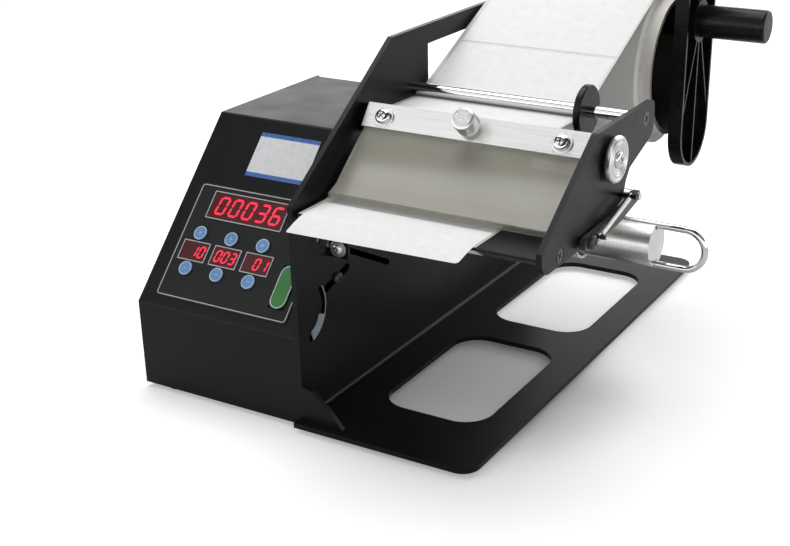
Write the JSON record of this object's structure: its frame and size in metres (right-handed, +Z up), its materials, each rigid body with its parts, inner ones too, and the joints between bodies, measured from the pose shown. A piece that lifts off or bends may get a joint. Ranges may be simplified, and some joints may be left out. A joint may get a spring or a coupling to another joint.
{
  "type": "label dispenser",
  "caption": "Automatic label dispenser: folded steel frame with control housing, peel edge, feed roller, powered liner rewinder and an overhanging roll holder.",
  "frame": {"origin": "centre of the front left foot on the standing surface", "axes": "+X to the roll's free end, +Y to the back, +Z up"},
  "size_m": [0.2844, 0.3339, 0.2765],
  "materials": {
    "painted_frame": "fine satin black powder coat",
    "steel": "brushed",
    "bright": "polished",
    "alu": "fine turned",
    "black_screw": "black oxide",
    "overlay": "fine matt film",
    "display": "dark red filter",
    "key_blue": "soft film",
    "key_green": "soft film",
    "board": "solder mask",
    "black_plastic": "fine moulded",
    "rubber": "matt",
    "roller_rubber": "ground",
    "film": "translucent film",
    "liner": "glassine",
    "label": "matt white",
    "core": "wound board",
    "bronze": "sintered",
    "gear_plastic": "moulded acetal",
    "sensor": "light blue"
  },
  "bodies": {
    "frame": {"main_frame": "painted_frame", "frame_gusset": "painted_frame", "housing_cover": "painted_frame", "housing_left_cover": "painted_frame", "housing_base": "painted_frame", "panel_overlay": "overlay", "display_windows": "display", "control_board": "board", "board_posts": "steel", "power_switch_frame": "black_plastic", "power_inlet": "black_plastic", "rubber_feet": "rubber", "gear_motor": "steel", "motor_bracket": "steel", "shaft_bushes": "bronze", "side_plate": "painted_frame", "guide_rod": "bright", "cross_screws": "black_screw", "clamp_bar": "steel", "clamp_carrier": "painted_frame", "clamp_screws": "bright", "press_sheet": "film", "peel_plate": "painted_frame", "lever_pivot": "black_screw", "liner_web": "liner", "front_label": "label", "waste_liner": "liner", "sensor_eye": "sensor", "slot_screw": "black_screw", "roll_rod": "black_plastic", "rod_nut": "steel", "tension_spring": "steel"},
    "confirm_button": {"confirm_key": "key_green"},
    "power_rocker": {"power_switch_rocker": "black_plastic"},
    "rewinder": {"drive_gear": "gear_plastic", "rewind_shaft": "steel", "rewind_mandrel": "alu", "wound_liner": "liner"},
    "pinion": {"motor_pinion": "steel"},
    "clip": {"rewind_clip": "bright"},
    "feed_drum": {"feed_shaft": "steel", "feed_roller": "roller_rubber", "hand_wheel": "alu", "hand_wheel_screw": "bright"},
    "lever_arm": {"tension_lever": "black_screw"},
    "dancer": {"tension_roller": "alu"},
    "thumb": {"thumb_screw": "alu"},
    "disc": {"guide_disc": "black_plastic"},
    "stop": {"roll_stop": "black_plastic"},
    "roll": {"label_roll": "label", "roll_core": "core"},
    "sensor_slider": {"sensor_bracket": "painted_frame", "sensor_screw": "bright", "sensor_nut": "steel"},
    "panel_key_1_button": {"panel_key_1": "key_blue"},
    "panel_key_2_button": {"panel_key_2": "key_blue"},
    "panel_key_3_button": {"panel_key_3": "key_blue"},
    "panel_key_4_button": {"panel_key_4": "key_blue"},
    "panel_key_5_button": {"panel_key_5": "key_blue"},
    "panel_key_6_button": {"panel_key_6": "key_blue"}
  },
  "joints": [
    {"name": "panel_key_1_press", "type": "slide", "parent": "frame", "child": "panel_key_1_button", "axis": [0, 0.7193, -0.6947], "range_m": [0, 0.0004], "stiffness_N_per_m": 800, "springref_m": -0.0002},
    {"name": "panel_key_2_press", "type": "slide", "parent": "frame", "child": "panel_key_2_button", "axis": [0, 0.7193, -0.6947], "range_m": [0, 0.0004], "stiffness_N_per_m": 800, "springref_m": -0.0002},
    {"name": "panel_key_3_press", "type": "slide", "parent": "frame", "child": "panel_key_3_button", "axis": [0, 0.7193, -0.6947], "range_m": [0, 0.0004], "stiffness_N_per_m": 800, "springref_m": -0.0002},
    {"name": "panel_key_4_press", "type": "slide", "parent": "frame", "child": "panel_key_4_button", "axis": [0, 0.7193, -0.6947], "range_m": [0, 0.0004], "stiffness_N_per_m": 800, "springref_m": -0.0002},
    {"name": "panel_key_5_press", "type": "slide", "parent": "frame", "child": "panel_key_5_button", "axis": [0, 0.7193, -0.6947], "range_m": [0, 0.0004], "stiffness_N_per_m": 800, "springref_m": -0.0002},
    {"name": "panel_key_6_press", "type": "slide", "parent": "frame", "child": "panel_key_6_button", "axis": [0, 0.7193, -0.6947], "range_m": [0, 0.0004], "stiffness_N_per_m": 800, "springref_m": -0.0002},
    {"name": "confirm_key_press", "type": "slide", "parent": "frame", "child": "confirm_button", "axis": [0, 0.7193, -0.6947], "range_m": [0, 0.0004], "stiffness_N_per_m": 800, "springref_m": -0.0002},
    {"name": "power_rock", "type": "hinge", "parent": "frame", "child": "power_rocker", "pos_m": [0.0157, 0.175, 0.0337], "axis": [1, 0, 0], "range_deg": [0, 12]},
    {"name": "rewinder_spin", "type": "hinge", "parent": "frame", "child": "rewinder", "pos_m": [0.164, 0.1237, 0.0883], "axis": [1, 0, 0], "continuous": true},
    {"name": "pinion_spin", "type": "hinge", "parent": "frame", "child": "pinion", "pos_m": [0.079, 0.1237, 0.0583], "axis": [1, 0, 0], "continuous": true},
    {"name": "clip_pull", "type": "slide", "parent": "rewinder", "child": "clip", "axis": [1, 0, 0], "range_m": [0, 0.145]},
    {"name": "feed_spin", "type": "hinge", "parent": "frame", "child": "feed_drum", "pos_m": [0.164, 0.0652, 0.1524], "axis": [1, 0, 0], "continuous": true},
    {"name": "lever_swing", "type": "hinge", "parent": "frame", "child": "lever_arm", "pos_m": [0.235, 0.035, 0.1195], "axis": [1, 0, 0], "range_deg": [-14, 0], "stiffness_Nm_per_rad": 0.4, "springref_deg": 11.46},
    {"name": "dancer_spin", "type": "hinge", "parent": "lever_arm", "child": "dancer", "pos_m": [0.164, 0.094, 0.125], "axis": [1, 0, 0], "continuous": true},
    {"name": "thumb_turn", "type": "hinge", "parent": "frame", "child": "thumb", "pos_m": [0.1616, 0.05459, 0.16107], "axis": [0, 0.7771, -0.6293], "range_deg": [-360, 90]},
    {"name": "disc_slide", "type": "slide", "parent": "frame", "child": "disc", "axis": [1, 0, 0], "range_m": [-0.0003, 0.028]},
    {"name": "stop_slide", "type": "slide", "parent": "frame", "child": "stop", "axis": [1, 0, 0], "range_m": [-0.006, 0.03]},
    {"name": "roll_spin", "type": "hinge", "parent": "frame", "child": "roll", "pos_m": [0.144, 0.232, 0.1602], "axis": [1, 0, 0], "continuous": true},
    {"name": "sensor_slide", "type": "slide", "parent": "frame", "child": "sensor_slider", "axis": [0, 0.8848, -0.466], "range_m": [-0.02, 0.056]}
  ],
  "couplings": [
    {"joint": "pinion_spin", "follows": "rewinder_spin", "ratio": -2}
  ]
}
